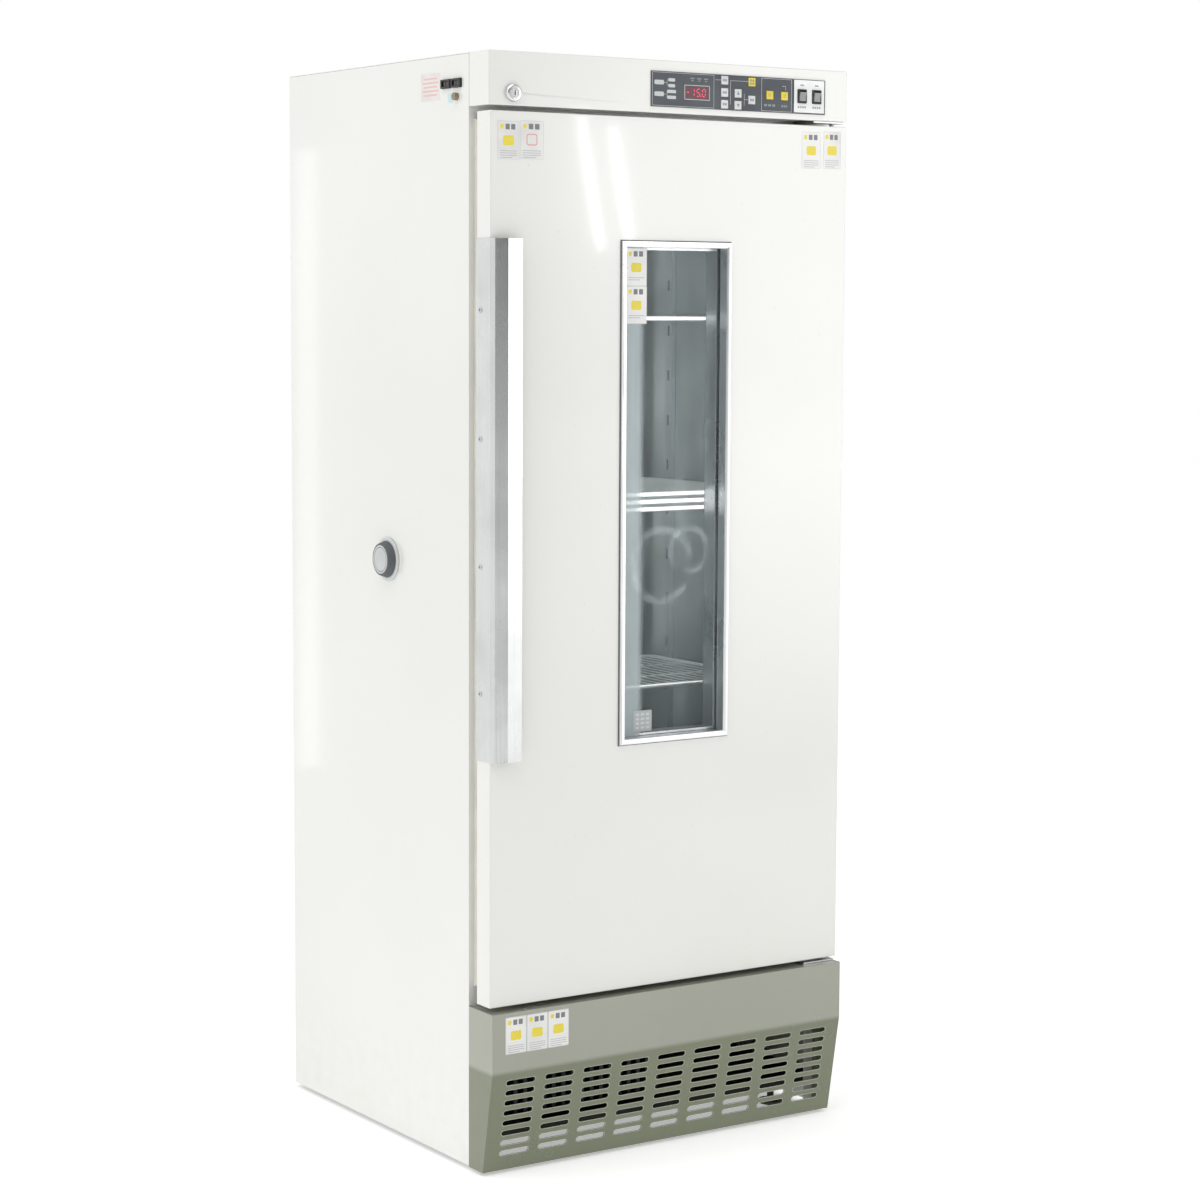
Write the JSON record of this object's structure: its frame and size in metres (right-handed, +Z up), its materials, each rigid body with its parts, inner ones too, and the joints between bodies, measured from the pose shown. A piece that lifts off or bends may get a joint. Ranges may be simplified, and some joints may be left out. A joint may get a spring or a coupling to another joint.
{
  "type": "laboratory incubator",
  "caption": "Upright low-temperature laboratory incubator: side-hinged windowed door, full-length edge handle, key panel in the header, slotted lower cover, wire shelves inside.",
  "frame": {"origin": "on the floor, at the middle of the object's overall footprint", "axes": "+Z up; the door faces -Y; +X is to the right of someone facing the door"},
  "size_m": [0.7156, 0.6803, 1.779],
  "materials": {
    "white_paint": "glossy off-white baked paint on sheet steel",
    "taupe_paint": "semi-gloss grey-olive baked paint on sheet steel",
    "zinc_plated_steel": "zinc-plated sheet steel",
    "stainless_steel": "fine-brushed stainless steel",
    "satin_aluminium": "satin anodised aluminium section",
    "fin_aluminium": "thin aluminium fins, mill finish",
    "chrome": "polished chrome plate",
    "terminal_brass": "nickel-flashed brass",
    "charcoal_overlay": "dark blue-grey satin film overlay with fine light lines",
    "black_plastic": "black moulded plastic",
    "dark_plastic": "dark grey moulded plastic",
    "white_plastic": "off-white moulded plastic",
    "yellow_plastic": "warm yellow moulded plastic",
    "grey_rubber": "soft grey rubber",
    "foot_rubber": "hard black rubber",
    "window_glass": "clear float glass, slightly smudged",
    "insulation_foam": "rigid polyurethane foam",
    "black_enamel": "black stove enamel"
  },
  "bodies": {
    "cabinet": {"air_duct_cover": "stainless_steel", "back_panel": "white_paint", "base_tray": "zinc_plated_steel", "chamber_fan_motor": "zinc_plated_steel", "chamber_liner": "stainless_steel", "compressor": "black_enamel", "condenser": "fin_aluminium", "control_panel": "charcoal_overlay", "display_module": "dark_plastic", "earth_terminal": "terminal_brass", "evaporator": "fin_aluminium", "foot_back_left": "foot_rubber", "foot_back_right": "foot_rubber", "foot_front_left": "foot_rubber", "foot_front_right": "foot_rubber", "front_frame": "white_paint", "header_cover": "white_paint", "hinge_lower": "zinc_plated_steel", "hinge_upper": "zinc_plated_steel", "insulation": "insulation_foam", "lock_barrel": "chrome", "lower_front_cover": "taupe_paint", "port_flange": "white_plastic", "power_inlet": "black_plastic", "shelf_ladder_left": "stainless_steel", "shelf_ladder_right": "stainless_steel", "side_outlets": "black_plastic", "side_panel_left": "white_paint", "side_panel_right": "white_paint", "switch_block": "black_plastic", "switch_plate": "white_plastic", "top_panel": "white_paint"},
    "door": {"door_outer_panel": "white_paint", "door_inner_panel": "white_plastic", "door_gasket": "grey_rubber", "window_trim": "satin_aluminium", "window_pane_outer": "window_glass", "window_pane_inner": "window_glass", "window_spacer": "satin_aluminium", "door_handle": "satin_aluminium"},
    "lock_plug": {"lock_plug": "chrome"},
    "port_plug": {"port_plug": "grey_rubber"},
    "power_switch": {"power_switch": "black_plastic"},
    "lamp_switch": {"lamp_switch": "black_plastic"},
    "chamber_fan": {"chamber_fan": "dark_plastic"},
    "condenser_fan": {"condenser_fan": "dark_plastic"},
    "key_1": {"key_1": "white_plastic"},
    "key_2": {"key_2": "white_plastic"},
    "key_3": {"key_3": "white_plastic"},
    "key_up": {"key_up": "white_plastic"},
    "key_down": {"key_down": "white_plastic"},
    "key_start": {"key_start": "yellow_plastic"},
    "key_light": {"key_light": "white_plastic"},
    "key_heat": {"key_heat": "yellow_plastic"},
    "key_cool": {"key_cool": "yellow_plastic"},
    "shelf_lower": {"shelf_lower": "stainless_steel"},
    "shelf_middle_1": {"shelf_middle_1": "stainless_steel"},
    "shelf_middle_2": {"shelf_middle_2": "stainless_steel"},
    "shelf_middle_3": {"shelf_middle_3": "stainless_steel"},
    "shelf_upper": {"shelf_upper": "stainless_steel"}
  },
  "joints": [
    {"name": "door_hinge", "type": "hinge", "parent": "cabinet", "child": "door", "pos_m": [0.3418, -0.30015, 1], "axis": [0, 0, 1], "range_deg": [0, 110]},
    {"name": "lock_turn", "type": "hinge", "parent": "cabinet", "child": "lock_plug", "pos_m": [-0.299, -0.31995, 1.7149], "axis": [0, 1, 0], "range_deg": [0, 90]},
    {"name": "port_plug_pull", "type": "slide", "parent": "cabinet", "child": "port_plug", "axis": [-1, 0, 0], "range_m": [0, 0.045]},
    {"name": "chamber_fan_spin", "type": "hinge", "parent": "cabinet", "child": "chamber_fan", "pos_m": [0.0078, 0.19185, 1.2], "axis": [0, 1, 0], "continuous": true},
    {"name": "condenser_fan_spin", "type": "hinge", "parent": "cabinet", "child": "condenser_fan", "pos_m": [-0.0822, -0.17115, 0.157], "axis": [0, 1, 0], "continuous": true},
    {"name": "power_switch_rock", "type": "hinge", "parent": "cabinet", "child": "power_switch", "pos_m": [0.2613, -0.32138, 1.734], "axis": [1, 0, 0], "range_deg": [-20, 0]},
    {"name": "lamp_switch_rock", "type": "hinge", "parent": "cabinet", "child": "lamp_switch", "pos_m": [0.2916, -0.32138, 1.734], "axis": [1, 0, 0], "range_deg": [-20, 0]},
    {"name": "key_1_press", "type": "slide", "parent": "cabinet", "child": "key_1", "axis": [0, 1, 0], "range_m": [0, 0.0005], "stiffness_N_per_m": 400},
    {"name": "key_2_press", "type": "slide", "parent": "cabinet", "child": "key_2", "axis": [0, 1, 0], "range_m": [0, 0.0005], "stiffness_N_per_m": 400},
    {"name": "key_3_press", "type": "slide", "parent": "cabinet", "child": "key_3", "axis": [0, 1, 0], "range_m": [0, 0.0005], "stiffness_N_per_m": 400},
    {"name": "key_up_press", "type": "slide", "parent": "cabinet", "child": "key_up", "axis": [0, 1, 0], "range_m": [0, 0.0005], "stiffness_N_per_m": 400},
    {"name": "key_down_press", "type": "slide", "parent": "cabinet", "child": "key_down", "axis": [0, 1, 0], "range_m": [0, 0.0005], "stiffness_N_per_m": 400},
    {"name": "key_start_press", "type": "slide", "parent": "cabinet", "child": "key_start", "axis": [0, 1, 0], "range_m": [0, 0.0005], "stiffness_N_per_m": 400},
    {"name": "key_light_press", "type": "slide", "parent": "cabinet", "child": "key_light", "axis": [0, 1, 0], "range_m": [0, 0.0005], "stiffness_N_per_m": 400},
    {"name": "key_heat_press", "type": "slide", "parent": "cabinet", "child": "key_heat", "axis": [0, 1, 0], "range_m": [0, 0.0005], "stiffness_N_per_m": 400},
    {"name": "key_cool_press", "type": "slide", "parent": "cabinet", "child": "key_cool", "axis": [0, 1, 0], "range_m": [0, 0.0005], "stiffness_N_per_m": 400},
    {"name": "shelf_lower_slide", "type": "slide", "parent": "cabinet", "child": "shelf_lower", "axis": [0, -1, 0], "range_m": [0, 0.03]},
    {"name": "shelf_middle_1_slide", "type": "slide", "parent": "cabinet", "child": "shelf_middle_1", "axis": [0, -1, 0], "range_m": [0, 0.03]},
    {"name": "shelf_middle_2_slide", "type": "slide", "parent": "cabinet", "child": "shelf_middle_2", "axis": [0, -1, 0], "range_m": [0, 0.03]},
    {"name": "shelf_middle_3_slide", "type": "slide", "parent": "cabinet", "child": "shelf_middle_3", "axis": [0, -1, 0], "range_m": [0, 0.03]},
    {"name": "shelf_upper_slide", "type": "slide", "parent": "cabinet", "child": "shelf_upper", "axis": [0, -1, 0], "range_m": [0, 0.03]}
  ]
}
